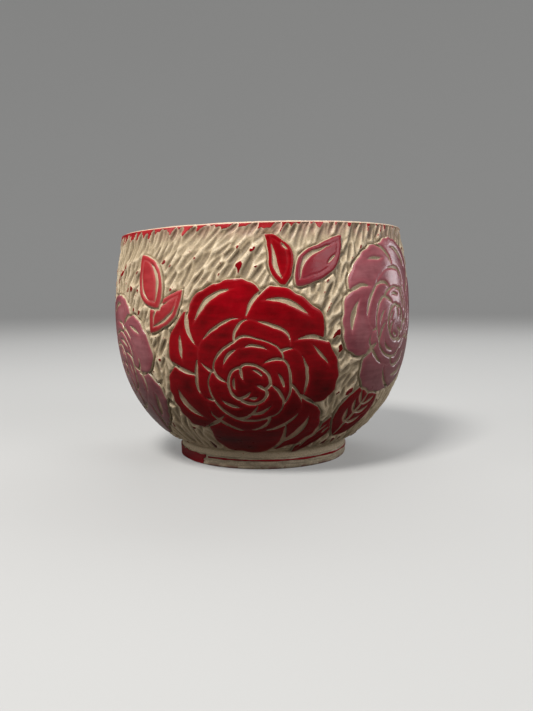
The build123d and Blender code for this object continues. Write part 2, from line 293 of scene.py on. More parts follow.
class Whorl:
    """Petals round a centre. Each is a slot along an arc, and a disc fills the middle."""

    def __init__(self, centre, count, turn, reach, size, spread, unevenness, step):
        self.centre = centre
        self.reach = reach
        self.step = step
        self.petals = []
        for k in range(count):
            middle = radians(turn + 360 * k / count + 10 * sin(2.3 * k + turn))
            half = radians(spread) * (1 + unevenness * cos(2.6 * k + turn))
            self.petals.append((middle, half, size * (1 + unevenness * sin(1.9 * k + turn))))

    def at(self, angle, distance):
        return (self.centre[0] + distance * cos(angle), self.centre[1] + distance * sin(angle))

    def field(self, x, y):
        dx, dy = x - self.centre[0], y - self.centre[1]
        inside = disc(x, y, self.centre, self.reach)
        for middle, half, size in self.petals:
            angle = (np.arctan2(dy, dx) - middle + pi) % (2 * pi) - pi
            along = np.abs(np.hypot(dx, dy) - self.reach)
            ends = [self.at(middle + way * half, self.reach) for way in (-1, 1)]
            to_ends = np.minimum(*(np.hypot(x - e[0], y - e[1]) for e in ends))
            inside = np.maximum(inside, size - np.where(np.abs(angle) < half, along, to_ends))
        return inside

    def partings(self, x, y, length_share, width, lead_share=0.13):
        """Cuts along each petal's edge, from where its neighbour comes out from under it, inwards."""
        cut = np.full_like(x, OUTSIDE)
        for k, (middle, half, size) in enumerate(self.petals):
            next_middle, next_half, next_size = self.petals[(k + self.step) % len(self.petals)]
            end = self.at(middle + self.step * half, self.reach)
            other = self.at(next_middle - self.step * next_half, self.reach)
            gap = hypot(other[0] - end[0], other[1] - end[1])
            if gap >= size + next_size or gap <= abs(size - next_size):
                continue
            towards = atan2(other[1] - end[1], other[0] - end[0])
            swing = acos((size**2 + gap**2 - next_size**2) / (2 * size * gap))
            meeting = towards - self.step * swing
            inward = atan2(self.centre[1] - end[1], self.centre[0] - end[0])
            turn = self.step * ((self.step * (inward - meeting)) % (2 * pi))
            start = meeting - turn * lead_share
            cut = np.maximum(cut, arc_stroke(x, y, end, size, start, meeting + turn * length_share, width))
        return cut

    def folds(self, x, y, first, every, inset, width, sweep):
        """Crescents inside every so many petals, this far from the outer edge and curved like it."""
        cut = np.full_like(x, OUTSIDE)
        for middle, half, size in self.petals[first::every]:
            centre = self.at(middle, self.reach * 0.8)
            start, end = (middle + self.step * radians(angle) for angle in sweep)
            radius = self.reach * 0.2 + size - inset
            cut = np.maximum(cut, arc_stroke(x, y, centre, radius, start, end, width))
        return cut


# The ornament

class Motif:
    """A flower or a leaf drawn on a plane through the axis: a place, an outline and the pieces inside it."""

    def __init__(self, azimuth, height, reach, slot, outline, pieces):
        self.azimuth = radians(azimuth)
        self.height = height
        self.reach = reach
        self.slot = slot
        self.outline = outline
        self.pieces = pieces

    def plane(self, azimuth, z):
        return coat.at(z) * np.sin(azimuth - self.azimuth), z - self.height

    def field(self, drawing, azimuth, z):
        x, y = self.plane(azimuth, z)
        return np.where(np.cos(azimuth - self.azimuth) > 0, drawing(x, y), OUTSIDE)


def cut(shape, *strokes):
    for stroke in strokes:
        shape = np.minimum(shape, -stroke)
    return shape


def line_along(shape, width, x, y, centre, beats, phase, gap):
    """A tapering cut on a shape's outline, broken where a wave round the centre falls under the gap."""
    angle = np.arctan2(y - centre[1], x - centre[0])
    wave = np.clip((np.sin(beats * angle + phase) + 1) / 2 - gap, 0, 1) ** 0.5
    return width / 2 * wave - np.abs(shape) - 0.05


def bloom(name, azimuth, height_share, radius, petals, turn, step, lean, slot):
    """A flower of four whorls. The inner ones stand further and further towards the side that it leans to."""
    def whorl(lean_share, count, turned, reach_share, size_share, spread, unevenness):
        centre = (lean[0] * radius * lean_share, lean[1] * radius * lean_share)
        reach, size = radius * reach_share, radius * size_share
        return Whorl(centre, count, turn + turned, reach, size, spread, unevenness, step)

    outer = whorl(0, petals, 0, 0.66, 0.30, 180 / petals - NOTCH_ANGLE, 0.14)
    collar = whorl(0.6, petals - 1, 20, 0.42, 0.20, 20, 0.15)
    inner = whorl(1, 5, 35, 0.27, 0.18, 26, 0.16)
    heart = whorl(2, 3, 70, 0.125, 0.10, 34, 0.14)
    half = GROOVE_WIDTH / 2

    def ruffled(x, y):
        angle = np.arctan2(y, x)
        return outer.field(x, y) + RUFFLE * np.sin(31 * angle + 3 * np.sin(3 * angle + turn))

    def swell(x, y):
        return 0.72 + 0.28 * np.sin(3 * np.arctan2(y - inner.centre[1], x - inner.centre[0]) + turn)

    def draw_petals(x, y):
        ring = collar.field(x, y)
        return cut(
            ruffled(x, y),
            outer.partings(x, y, 0.50, STROKE_WIDTH),
            outer.folds(x, y, 0, 2, 2.0, STROKE_WIDTH * 1.3, (-24, 58)),
            outer.folds(x, y, 1, 4, 2.3, STROKE_WIDTH * 0.8, (8, 60)),
            line_along(ring, STROKE_WIDTH, x, y, collar.centre, petals - 1, turn, 0.22),
            collar.partings(x, y, 0.62, VEIN_WIDTH),
            inner.field(x, y) + half * swell(x, y),
        )

    def draw_inner(x, y):
        return cut(
            inner.field(x, y) - half * swell(x, y),
            inner.partings(x, y, 0.60, VEIN_WIDTH),
            inner.folds(x, y, 0, 2, 1.5, VEIN_WIDTH, (-35, 60)),
            inner.folds(x, y, 1, 2, 1.7, VEIN_WIDTH * 0.9, (-10, 70)),
            heart.field(x, y) + half,
        )

    def draw_heart(x, y):
        return cut(
            heart.field(x, y) - half,
            heart.partings(x, y, 0.70, VEIN_WIDTH),
            heart.folds(x, y, 0, 1, 1.0, VEIN_WIDTH * 0.9, (-50, 50)),
        )

    pieces = [
        (f"{name}_petals", draw_petals),
        (f"{name}_inner_petals", draw_inner),
        (f"{name}_heart", draw_heart),
    ]
    return Motif(azimuth, height_share * CUP_HEIGHT, radius, slot, ruffled, pieces)


def leaf(name, azimuth, height_share, length, direction, bulges, veins, loop=(1.15, 0.0)):
    """A leaf between two arcs, with a middle line that sways like an S. A plain one has a line cut along its
    edges, as wide on each side as the loop's shares say."""
    half = length / 2
    way = (cos(radians(direction)), sin(radians(direction)))
    base, tip = (-half * way[0], -half * way[1]), (half * way[0], half * way[1])
    bow = sum(bulges) / 2 * length

    def on_leaf(along, side):
        rise = bow * 4 * along * (1 - along) + side * length
        return (base[0] + 2 * half * way[0] * along - way[1] * rise,
                base[1] + 2 * half * way[1] * along + way[0] * rise)

    def swayed(x, y):
        along = ((x - base[0]) * way[0] + (y - base[1]) * way[1]) / length
        side = (y - base[1]) * way[0] - (x - base[0]) * way[1]
        narrowing = 1 + TIP_NARROWING * np.clip((along - 0.4) / 0.6, 0, 1) ** 1.5
        shift = side * (narrowing - 1) - LEAF_SWAY * length * np.sin(2 * pi * np.clip(along, 0, 1))
        return along, x - way[1] * shift, y + way[0] * shift

    def outline(x, y):
        _, x, y = swayed(x, y)
        return crescent(x, y, base, tip, bulges[0] * length, bulges[1] * length)

    def draw_plain(x, y):
        shape = outline(x, y)
        along, x, y = swayed(x, y)
        side = (y - base[1]) * way[0] - (x - base[0]) * way[1] - bow * 4 * along * (1 - along)
        taper = np.clip(np.minimum(along - 0.06, 0.80 - along) * 3.2, 0, 1) ** 0.8
        width = np.where(side > 0, loop[0], loop[1]) * STROKE_WIDTH * taper
        strokes = [width / 2 - np.abs(shape - LOOP_INSET) - 0.03]
        if loop[1] == 0:
            start, end = on_leaf(0.56, bulges[1] * 0.45), on_leaf(0.74, bulges[1] * 0.42)
            strokes.append(crescent(x, y, start, end, VEIN_WIDTH, 0))
        return cut(shape, *strokes)

    def draw_veined(x, y):
        shape = outline(x, y)
        _, x, y = swayed(x, y)
        start, end = on_leaf(-0.1, 0), on_leaf(0.86, 0)
        strokes = [crescent(x, y, start, end, bow + VEIN_WIDTH * 0.75, bow - VEIN_WIDTH * 0.75)]
        for k in range(veins):
            share = 0.22 + 0.5 * k / veins
            for side, edge in zip((1, -1), bulges):
                rise = side * VEIN_WIDTH * 0.8
                strokes.append(crescent(x, y, on_leaf(share, 0), on_leaf(share + 0.2, edge * 0.6),
                                        rise + VEIN_WIDTH * 0.7, rise - VEIN_WIDTH * 0.7))
        return cut(shape, *strokes)

    return Motif(azimuth, height_share * CUP_HEIGHT, length * 0.6, "crimson_slip", outline,
                 [(name, draw_veined if veins else draw_plain)])


motifs = [
    bloom("front_bloom", -4, 0.43, 25.0, 7, 102, 1, (0.0, -0.06), "crimson_slip"),
    bloom("right_bloom", 54, 0.635, 22.0, 6, 70, -1, (0.05, -0.04), "plum_slip"),
    bloom("left_bloom", -66, 0.425, 21.0, 6, 84, 1, (-0.05, 0.05), "plum_slip"),
    bloom("back_bloom", 176, 0.46, 25.0, 7, 65, -1, (0.03, 0.05), "crimson_slip"),
    leaf("bud_high", -42, 0.785, BUD, 119, (0.30, -0.29), 0, (0.5, 1.0)),
    leaf("bud_low", -34.5, 0.665, BUD, 44, (0.22, -0.22), 0, (0.6, 1.0)),
    leaf("leaf_upright", 4, 0.86, SMALL_LEAF, 110, (0.09, -0.36), 0),
    leaf("leaf_leaning", 20, 0.855, LEAF, 44, (0.23, -0.23), 0),
    leaf("leaf_veined", 42, 0.27, LEAF, 70, (0.36, -0.42), 3),
    leaf("leaf_small", 26, 0.155, SMALL_LEAF, 62, (0.20, -0.16), 0, (0.8, 0.0)),
    leaf("leaf_right_high", 98, 0.79, LONG_LEAF, 38, (0.24, -0.24), 3),
    leaf("leaf_right_low", 104, 0.30, LONG_LEAF, -58, (0.26, -0.25), 4),
    leaf("bud_right", 123, 0.60, BUD, 112, (0.24, -0.20), 0, (1.0, 0.5)),
    leaf("leaf_right_back", 131, 0.24, LEAF, 74, (0.20, -0.24), 0),
    leaf("leaf_left_high", -120, 0.79, LONG_LEAF, 142, (0.24, -0.26), 4),
    leaf("leaf_left_low", -112, 0.31, LONG_LEAF, 236, (0.26, -0.26), 3),
    leaf("bud_left", -105, 0.57, BUD, 78, (0.20, -0.24), 0, (1.0, 0.6)),
    leaf("leaf_left_back", -137, 0.40, LEAF, 115, (0.20, -0.20), 0),
]


def by_hand(azimuth, z):
    """Moves a place a little, as the carver's hand strays from the drawing."""
    p = wall_point(azimuth, z)
    aside, up = (layers(p, (*HAND_SWAY, seed), (*HAND_NICK, seed + 2)) for seed in (1, 2))
    return azimuth + aside / coat.at(z), z + up


# Meshes

def clipped(points, values, triangles):
    """Cuts triangles where the values pass zero, and keeps the part above it."""
    n = len(points)

    def crossing(a, b):
        return -(np.minimum(a, b) * n + np.maximum(a, b)) - 1

    def turned(rows, flags):
        first = flags.argmax(1)
        return np.take_along_axis(rows, (first[:, None] + np.arange(3)) % 3, 1)

    sign = np.sign(values)[triangles]
    above, below = (sign > 0).sum(1), (sign < 0).sum(1)
    parts = [triangles[(below == 0) & (above > 0)]]
    one = (above == 1) & (below == 2)
    p, a, b = turned(triangles[one], sign[one] > 0).T
    parts.append(np.stack([p, crossing(p, a), crossing(p, b)], 1))
    two = (above == 2) & (below == 1)
    m, a, b = turned(triangles[two], sign[two] < 0).T
    parts.append(np.stack([crossing(m, a), a, b], 1))
    parts.append(np.stack([crossing(m, a), b, crossing(m, b)], 1))
    mixed = (above == 1) & (below == 1)
    m, a, b = turned(triangles[mixed], sign[mixed] < 0).T
    a_above = values[a] > 0
    parts.append(np.stack([np.where(a_above, crossing(m, a), a), np.where(a_above, a, b),
                           np.where(a_above, b, crossing(m, b))], 1))
    made = np.vstack(parts)
    keys, places = np.unique(made[made < 0], return_inverse=True)
    made[made < 0] = n + places
    i, j = np.divmod(-keys - 1, n)
    share = (values[i] / (values[i] - values[j]))[:, None]
    points = np.vstack([points, points[i] + share * (points[j] - points[i])])
    used, made = np.unique(made, return_inverse=True)
    return points[used], made.reshape(-1, 3)


def grid_triangles(rows, columns):
    """Two triangles a cell, with the diagonals turned alternately."""
    i = np.arange(rows - 1)[:, None] * columns + np.arange(columns - 1)[None, :]
    i = i.ravel()
    a, b, c, d = i, i + 1, i + 1 + columns, i + columns
    odd = ((i // columns + i % columns) % 2).astype(bool)
    first = np.where(odd[:, None], np.stack([a, b, c], 1), np.stack([a, b, d], 1))
    second = np.where(odd[:, None], np.stack([a, c, d], 1), np.stack([b, c, d], 1))
    return np.vstack([first, second])


def rim_edges(triangles, count):
    """The directed edges that only one triangle has."""
    edges = np.vstack([triangles[:, [0, 1]], triangles[:, [1, 2]], triangles[:, [2, 0]]])
    keys = edges[:, 0] * count + edges[:, 1]
    reverse = edges[:, 1] * count + edges[:, 0]
    return edges[~np.isin(keys, reverse)]


def slab(flat, triangles, growths):
    """Closes a flat mesh into a slab. Each ring moves the edge outwards by its growth, and the last one is the
    underside's edge too. Returns flat places, ring numbers and faces."""
    count = len(flat)
    edges = rim_edges(triangles, count)
    along = flat[edges[:, 1]] - flat[edges[:, 0]]
    out = np.zeros((count, 2))
    side = np.stack([along[:, 1], -along[:, 0]], 1)
    side /= np.maximum(np.hypot(*side.T), 1e-9)[:, None]
    for k in (0, 1):
        np.add.at(out, edges[:, k], side)
    length = np.hypot(*out.T)
    out /= np.maximum(length, 1e-9)[:, None]
    border = np.unique(edges)
    place = np.full(count, -1)
    place[border] = np.arange(len(border))
    places, numbers = [flat], [np.zeros(count, int)]
    faces = [triangles]
    before = edges
    for k, grow in enumerate(growths):
        start = count + k * len(border)
        places.append(flat[border] + out[border] * grow)
        numbers.append(np.full(len(border), k + 1))
        after = start + place[edges]
        faces.append(np.stack([before[:, 1], before[:, 0], after[:, 0]], 1))
        faces.append(np.stack([before[:, 1], after[:, 0], after[:, 1]], 1))
        before = after
    inner = np.setdiff1d(np.arange(count), border)
    last = count + len(growths) * len(border)
    under = np.zeros(count, int)
    under[inner] = last + np.arange(len(inner))
    under[border] = count + (len(growths) - 1) * len(border) + place[border]
    places.append(flat[inner])
    numbers.append(np.full(len(inner), len(growths)))
    faces.append(under[triangles[:, ::-1]])
    return np.vstack(places), np.concatenate(numbers), np.vstack(faces).tolist()


def by_ring(rings, *values):
    """A value for each point, from the number of its ring."""
    return np.choose(rings, [np.broadcast_to(value, rings.shape) for value in values])


class Turned:
    """Rings of points round the axis, each a list of numbers that goes once round, and faces between them."""

    def __init__(self, points=()):
        self.points = [np.reshape(points, (-1, 3))]
        self.count = len(self.points[0])
        self.rings = []
        self.faces = []

    def ring(self, points):
        self.points.append(points)
        self.rings.append(list(range(self.count, self.count + len(points))))
        self.count += len(points)

    def join(self):
        """Adds faces between the rings. A ring may have fewer points than the last, by a whole ratio."""
        for a, b in zip(self.rings, self.rings[1:]):
            ratio = len(a) // len(b)
            for k in range(len(b)):
                many = [a[(k * ratio + j) % len(a)] for j in range(ratio + 1)]
                self.faces.append(many + [b[(k + 1) % len(b)], b[k]])

    def cap(self, ring, height):
        """Closes a ring with a point on the axis."""
        self.points.append([[0, 0, height]])
        self.faces += [[ring[k - 1], ring[k], self.count] for k in range(len(ring))]
        self.count += 1

    def mesh(self):
        return np.vstack(self.points), self.faces


def arc(x, z, radius, start, end, steps):
    """Points of an arc round a centre, from one angle in degrees to another."""
    turns = np.radians(np.linspace(start, end, steps + 1))
    return [(x + radius * cos(turn), z + radius * sin(turn)) for turn in turns]


def make_object(name, points, faces, material, attributes):
    mesh = bpy.data.meshes.new(name)
    mesh.from_pydata((points * MM).tolist(), [], faces, shade_flat=False)
    mesh.update()
    for key, values in attributes.items():
        attribute = mesh.attributes.new(key, "FLOAT", "POINT")
        attribute.data.foreach_set("value", np.asarray(values, np.float32))
    mesh.materials.append(material)
    made = bpy.data.objects.new(name, mesh)
    bpy.context.collection.objects.link(made)
    return made


def top_of_slip(azimuth, z, inside):
    """The slip's surface: slightly uneven, and rounded off towards its edges."""
    edge = np.clip(1 - inside / EDGE_REACH, 0, 1) ** 2 * EDGE_ROUNDING
    return SURFACE_DEPTH + layers(wall_point(azimuth, z), SURFACE_WAVE) + edge


def island(motif, drawing, earlier):
    """What stays standing inside a drawing, cut back behind the motifs drawn earlier. It is a closed slab whose
    edge grows outwards down to its root. Returns points, faces and attributes."""
    half = motif.reach * 1.06 + 1.0
    line = np.linspace(-half, half, int(2 * half / ISLAND_PITCH) + 1)
    step = line[1] - line[0]

    def place(x, y):
        z = motif.height + y
        return motif.azimuth + np.arcsin(np.clip(x / coat.at(z), -0.999, 0.999)), z

    def field(x, y):
        azimuth, z = place(x, y)
        moved = by_hand(azimuth, z)
        inside = motif.field(drawing, *moved)
        for other in earlier:
            inside = np.minimum(inside, -other.field(other.outline, *moved) - GROOVE_WIDTH)
        inside = np.minimum(inside, rim_height(azimuth) - TOP_MARGIN - z)
        return np.minimum(inside, z - WALL_LOW - 0.2)

    # Grid points close to the edge move onto it, so that no sliver is cut off
    x, y = np.meshgrid(line, line)
    values = field(x, y)
    gy, gx = np.gradient(values, step)
    slope = np.maximum(np.hypot(gx, gy), 0.3)
    near = np.abs(values) < 0.32 * step * slope
    for _ in range(2):
        now = field(x, y)
        x = np.where(near, x - now * gx / slope**2, x)
        y = np.where(near, y - now * gy / slope**2, y)
    values = np.where(near, 0.0, values)
    flat = np.stack([x.ravel(), y.ravel()], 1)
    flat, triangles = clipped(flat, values.ravel(), grid_triangles(len(line), len(line)))
    places, rings, faces = slab(flat, triangles, (BEVEL_GROWTH, ROOT_GROWTH))
    inside = np.where(rings == 0, np.maximum(field(*places.T), 0), 0)
    azimuth, z = place(*places.T)
    depth = by_ring(rings, top_of_slip(azimuth, z, inside), BEVEL_DEPTH, ROOT_DEPTH)
    return wall_point(azimuth, z, depth), faces, {"slip": rings == 0, "inside": np.clip(inside / 2, 0, 1)}


# The carved ground: every gouge lowers it, and what no gouge reached is still the slip's own surface

def kept_share(azimuth):
    """How much of the slip under the lip was left: most at the left, and little at the right."""
    return 0.12 + 0.88 * (0.5 + 0.5 * np.cos(azimuth + WHOLE_BAND)) ** 1.5


def island_field(azimuth, z):
    """How far inside the islands' outlines each place is."""
    moved = by_hand(azimuth, z)
    islands = np.full_like(z, OUTSIDE)
    for motif in motifs:
        reach = motif.reach + 6
        window = (np.abs(z - motif.height) < reach) & (np.cos(azimuth - motif.azimuth) > 0)
        window &= np.abs(coat.at(z) * np.sin(azimuth - motif.azimuth)) < reach
        inside = motif.field(motif.outline, moved[0][window], moved[1][window])
        islands[window] = np.maximum(islands[window], inside)
    return np.minimum(islands, rim_height(azimuth) - TOP_MARGIN - z)


def lean_of_gouges(azimuth, z, islands, row_step, column_step):
    """The gouges' angle: steeper at the left and low down, and turned towards an outline near them."""
    from_left = (azimuth + pi / 2 + pi) % (2 * pi) - pi
    lean = LEAN + layers(wall_point(azimuth, z), LEAN_WAVE)
    lean = lean + LEFT_LEAN * np.exp(-(from_left / LEFT_WIDTH) ** 2)
    lean = lean + LOW_LEAN * np.clip((LOW_TOP - z) / LOW_REACH, 0, 1)
    gz, ga = np.gradient(islands, row_step, column_step * CUP_RADIUS)
    outward = np.arctan2(-gz, -ga)
    pull = TURN_SHARE * np.exp(-(np.clip(-islands, 0, 9) / TURN_REACH) ** 2)
    double = (1 - pull) * np.exp(2j * lean) + pull * np.exp(2j * outward)
    return np.angle(double) / 2


def gouged(azimuth, z, height, islands):
    """Depths cut by a few thousand gouges in staggered rows, none of them inside an island."""
    depth = np.zeros_like(z)
    row_step = height[1] - height[0]
    column_step = 2 * pi / CARVE_COLUMNS
    lean = lean_of_gouges(azimuth, z, islands, row_step, column_step)
    random = np.random.RandomState(GLOBAL_SEED)
    for k, row in enumerate(np.arange(WALL_LOW + FOOT_BAND + 1.0, CUP_HEIGHT + 3, GOUGE_ROW)):
        number = int(2 * pi * coat.at(row) / GOUGE_SPACING)
        for j in range(number):
            place = j + 0.5 * (k % 2) + random.uniform(-SIDE_STRAY, SIDE_STRAY)
            centre = (place / number * 2 - 1) * pi
            middle = row + random.uniform(-ROW_STRAY, ROW_STRAY) * GOUGE_ROW
            half = random.uniform(*HALF_LENGTHS)
            reach = random.uniform(*GOUGE_DEPTHS)
            radius = random.uniform(*TOOL_RADII)
            bend = random.uniform(-GOUGE_BEND, GOUGE_BEND)
            skew = random.uniform(-GOUGE_SKEW, GOUGE_SKEW)
            tongue = TONGUE * kept_share(centre) * random.uniform() ** 2
            power = random.uniform(*TOOL_POWERS)
            i = int(np.clip(round((middle - WALL_LOW) / row_step), 0, CARVE_ROWS))
            c = int(round((centre + pi) / column_step)) % CARVE_COLUMNS
            if islands[i, c] > 1.0:
                continue
            angle = lean[i, c] + skew
            limit = rim_height(centre) - LIP_DROP + RIM_OVERRUN - tongue
            middle = min(middle, limit - half * abs(sin(angle)) * 0.93)
            across = column_step * coat.at(middle)
            wide = int((half + GOUGE_MARGIN) / across) + 1
            tall = int((half + GOUGE_MARGIN) / row_step) + 1
            i = int(round((middle - WALL_LOW) / row_step))
            i0, i1 = max(i - tall, 0), min(i + tall + 1, CARVE_ROWS + 1)
            span = np.arange(c - wide, c + wide + 1) % CARVE_COLUMNS
            dx = (np.arange(-wide, wide + 1) * across)[None, :]
            dz = (height[i0:i1] - middle)[:, None]
            along = dx * cos(angle) + dz * sin(angle)
            aside = dz * cos(angle) - dx * sin(angle) + bend * along**2
            share = np.clip(along / half, -1.2, 1.2)
            width = (2 * radius * reach * (1 - TOOL_TAPER * share)) ** 0.5
            mark = reach * (1 - np.abs(share) ** 3) * (1 + TOOL_PLUNGE * share)
            mark = mark - reach * np.abs(aside / width) ** power
            depth[i0:i1, span] = np.maximum(depth[i0:i1, span], mark)
    return depth


def carve():
    """The ground's depth on a grid round the wall, with how far inside the islands each place is."""
    azimuth, share = np.meshgrid(full_turn(CARVE_COLUMNS), np.linspace(0, 1, CARVE_ROWS + 1))
    rim = rim_height(azimuth)
    z = WALL_LOW + share * (rim - LIP_DROP - WALL_LOW)
    height = share[:, 0] * (CUP_HEIGHT - LIP_DROP - WALL_LOW) + WALL_LOW
    points = wall_point(azimuth, z)
    islands = island_field(azimuth, z)
    depth = gouged(azimuth, z, height, islands)

    # Below a ragged edge, all but a few crumbs of the slip between the gouges is scraped away
    kept = kept_share(azimuth)
    ragged = BAND_DEPTH * kept - BAND_LIFT + layers(points, *RAGGED_EDGE)
    below_band = rim - LIP_DROP - 0.1 - kept - np.clip(ragged, 0, 4) > z
    crumb = (depth < SLIP_LEVEL + 0.03) & (layers(points, *CRUMBS) > CRUMB_LEVEL)
    base = GROUND_BASE + layers(points, BASE_WAVE)
    depth = np.where(below_band & ~crumb, np.maximum(depth, base), depth)

    # The turned band over the foot, the channels round the islands and the floor of the strokes inside them
    foot_band = (z < WALL_LOW + FOOT_BAND + layers(points, FOOT_BAND_WAVE)) & (islands < 0)
    trimmed = TRIM_DEPTH + TRIM_RIDGE * np.sin(z * 7) + layers(points, TRIM_WAVE)
    depth = np.where(foot_band, trimmed, depth)
    outside = np.clip(-islands, 0, 9)
    channel = GROUND_DEPTH - ((outside - 0.3) / CHANNEL_WIDTH) ** 2 * CHANNEL_RISE
    channel = channel + layers(points, CHANNEL_WAVE)
    depth = np.where(islands > -CHANNEL_REACH, np.maximum(depth, channel), depth)
    share_in = np.clip((islands - 0.5) / 0.7, 0, 1)
    floor = STROKE_FLOOR + layers(points, STROKE_WAVE)
    depth = np.where(islands > 0, GROUND_DEPTH + (floor - GROUND_DEPTH) * share_in, depth)
    return azimuth, z, softened(depth, 1), islands


def softened(grid, times):
    """A slight blur, round the wall and up it."""
    for _ in range(times):
        grid = (np.roll(grid, 1, 1) + 2 * grid + np.roll(grid, -1, 1)) / 4
        padded = np.pad(grid, ((1, 1), (0, 0)), mode="edge")
        grid = (padded[:-2] + 2 * grid + padded[2:]) / 4
    return grid


carve_azimuth, carve_z, carve_depth, carve_islands = carve()


def wall_faces(number, islands):
    """The faces of the wall's grid. A block of it that an island hides is one face, with the points that it
    shares with the faces beside it."""
    rows, columns = number.shape
    wrapped = np.hstack([islands, islands[:, :1]])
    hidden = np.array([[wrapped[i:i + BLOCK + 1, j:j + BLOCK + 1].min() > HIDDEN_INSET
                        for j in range(0, columns, BLOCK)] for i in range(0, rows - BLOCK, BLOCK)])
    i, j = np.nonzero(~np.kron(hidden, np.ones((BLOCK, BLOCK), bool)))
    right = (j + 1) % columns
    faces = np.stack([number[i, j], number[i, right], number[i + 1, right], number[i + 1, j]], 1).tolist()
    beside = np.pad(hidden, ((1, 1), (0, 0)))
    for i, j in zip(*np.nonzero(hidden)):
        row, column, face = i * BLOCK, j * BLOCK, []
        plain = beside[i, j], beside[i + 1, (j + 1) % hidden.shape[1]], beside[i + 2, j], beside[i + 1, j - 1]
        for (up, along), one_step in zip(((0, 1), (1, 0), (0, -1), (-1, 0)), plain):
            for k in range(BLOCK):
                if k == 0 or not one_step:
                    face.append(number[row + up * k, (column + along * k) % columns])
            row, column = row + up * BLOCK, column + along * BLOCK
        faces.append(face)
    return faces


def tilt_share(z):
    """How much of the rim's tilt a place at this height has."""
    return max(0.0, (z - TILT_START) / (CUP_HEIGHT - TILT_START))


def wall_ring(r, height, count, tilt=1.0, rough=0.0, seed=0):
    """A ring with this share of the rim's tilt, and uneven by this much."""
    azimuth = full_turn(count)
    ring = around(r, azimuth, height + tilt * (rim_height(azimuth) - CUP_HEIGHT))
    if rough:
        ring[:, 2] += layers(ring, (rough, ROUGH_SIZES[0], seed))
        ring[:, :2] *= 1 + layers(ring, (rough / 40, ROUGH_SIZES[1], seed + 1))[:, None]
    return ring


def clay_wall_mesh():
    """The carved outside, the rounded lip, the inside, the floor and the recess under it."""
    step = (slice(None, None, WALL_STEP),) * 2
    azimuth, z, islands = carve_azimuth[step], carve_z[step], carve_islands[step]
    sharper = carve_depth + RIDGE_SHARPNESS * (carve_depth - softened(carve_depth, 3))
    depth = np.maximum(sharper[step], SLIP_LEVEL)
    under_slip = carve_depth[step] < SLIP_LEVEL + 0.05
    depth = np.where(under_slip, np.maximum(depth, SLIP_THICKNESS * 0.8), depth)
    rows, columns = z.shape
    coarse = columns // BLOCK
    number = np.arange(rows * columns).reshape(rows, columns)
    wall = Turned(wall_point(azimuth, z, depth))
    wall.faces = wall_faces(number, islands)

    wall.rings = [number[-1].tolist()]
    lip_out = coat.at(CUP_HEIGHT - LIP_DROP) - RIM_SLIP_DEPTH
    lip_in = RIM_RADIUS - WALL_THICKNESS
    middle, half = (lip_out + lip_in) / 2, (lip_out - lip_in) / 2
    for k in range(LIP_STEPS + 1):
        turn = pi * k / LIP_STEPS
        r = middle + half * np.sign(cos(turn)) * abs(cos(turn)) ** 0.8
        height = CUP_HEIGHT - LIP_DROP - LIP_ROUGHNESS + sin(turn) ** 0.8 * LIP_DROP
        wall.ring(wall_ring(r, height, columns if k < LIP_STEPS else coarse, 1.0, LIP_ROUGHNESS, 31))
    inside = bezier(INSIDE_CURVE, 60)[::-1]
    for r, height in inside[2:]:
        wall.ring(wall_ring(r, height, coarse, tilt_share(height)))
    for share in (0.6, 0.3):
        wall.ring(wall_ring(inside[-1][0] * share, FLOOR_HEIGHT, coarse // 4, 0))
    wall.join()
    wall.cap(wall.rings[-1], FLOOR_HEIGHT)

    # The underside's rings go the other way round
    recess = FOOT_RADIUS - FOOT_WIDTH
    wall.rings = [number[0].tolist()]
    for (drop, rise), count in zip(JOINT_RINGS, (columns, columns, columns, coarse)):
        wall.ring(wall_ring(FOOT_RADIUS - drop, FOOT_HEIGHT + rise, count, 0, JOINT_ROUGHNESS, 33))
    wall.ring(wall_ring(recess, FOOT_HEIGHT, coarse, 0))
    for share in (1, 0.6, 0.3):
        wall.ring(wall_ring(recess * share, RECESS_DEPTH, coarse, 0))
    wall.rings = [ring[:1] + ring[:0:-1] for ring in wall.rings]
    wall.join()
    wall.cap(wall.rings[-1], RECESS_DEPTH)

    points, faces = wall.mesh()
    cavity = np.full(len(points), PLAIN_CAVITY)
    # painted shade: the middle of the recess a little browner
    cavity[-1] = RECESS_SHADE
    # The cavity browns the clay in the gouges: partly glaze pooled there, partly painted shade
    cavity[:z.size] = np.clip(0.46 + (depth - softened(depth, 10)) * 1.5 + (depth - 0.65) * 0.4, 0, 1).ravel()
    # Where the wall lies under an island: the strokes' floors, which get painted shade
    strokes = np.zeros(len(points))
    strokes[:z.size] = np.clip(islands / 0.8, 0, 1).ravel()
    return points, faces, {"cavity": cavity, "cut": strokes}


def slip_left(low_drop, high_drop):
    """The slip that no gouge reached, between two drops below the rim."""
    drop = rim_height(carve_azimuth) - carve_z
    wanted = (drop > high_drop) & (drop <= low_drop) & (carve_islands < -0.9)
    values = np.where(wanted, (SLIP_LEVEL - carve_depth) * 1.2, -0.4)
    values = np.clip(softened(values, 1), -0.5, 0.5).ravel()
    flat = np.stack([(carve_azimuth * CUP_RADIUS).ravel(), carve_z.ravel()], 1)
    triangles = grid_triangles(*carve_z.shape)
    triangles = triangles[(values[triangles] > 0).any(1)]
    used, renumbered = np.unique(triangles, return_inverse=True)
    flat, triangles = clipped(flat[used], values[used], renumbered.reshape(-1, 3))
    places, rings, faces = slab(flat, triangles, REMNANT_GROWTHS)
    azimuth, z = places[:, 0] / CUP_RADIUS, places[:, 1]
    depth = by_ring(rings, *REMNANT_DEPTHS)
    depth[rings == 0] += layers(wall_point(azimuth, z, depth), REMNANT_WAVE)[rings == 0]
    return wall_point(azimuth, z, depth), faces, {"slip": rings < 2, "inside": np.ones(len(z))}


def foot_surface(azimuth, z, lift=0.0):
    """A point on the foot ring's outer side, lifted this far off it."""
    return around(FOOT_RADIUS + lift - FOOT_DRAW * (1 - z / FOOT_HEIGHT), azimuth, z)


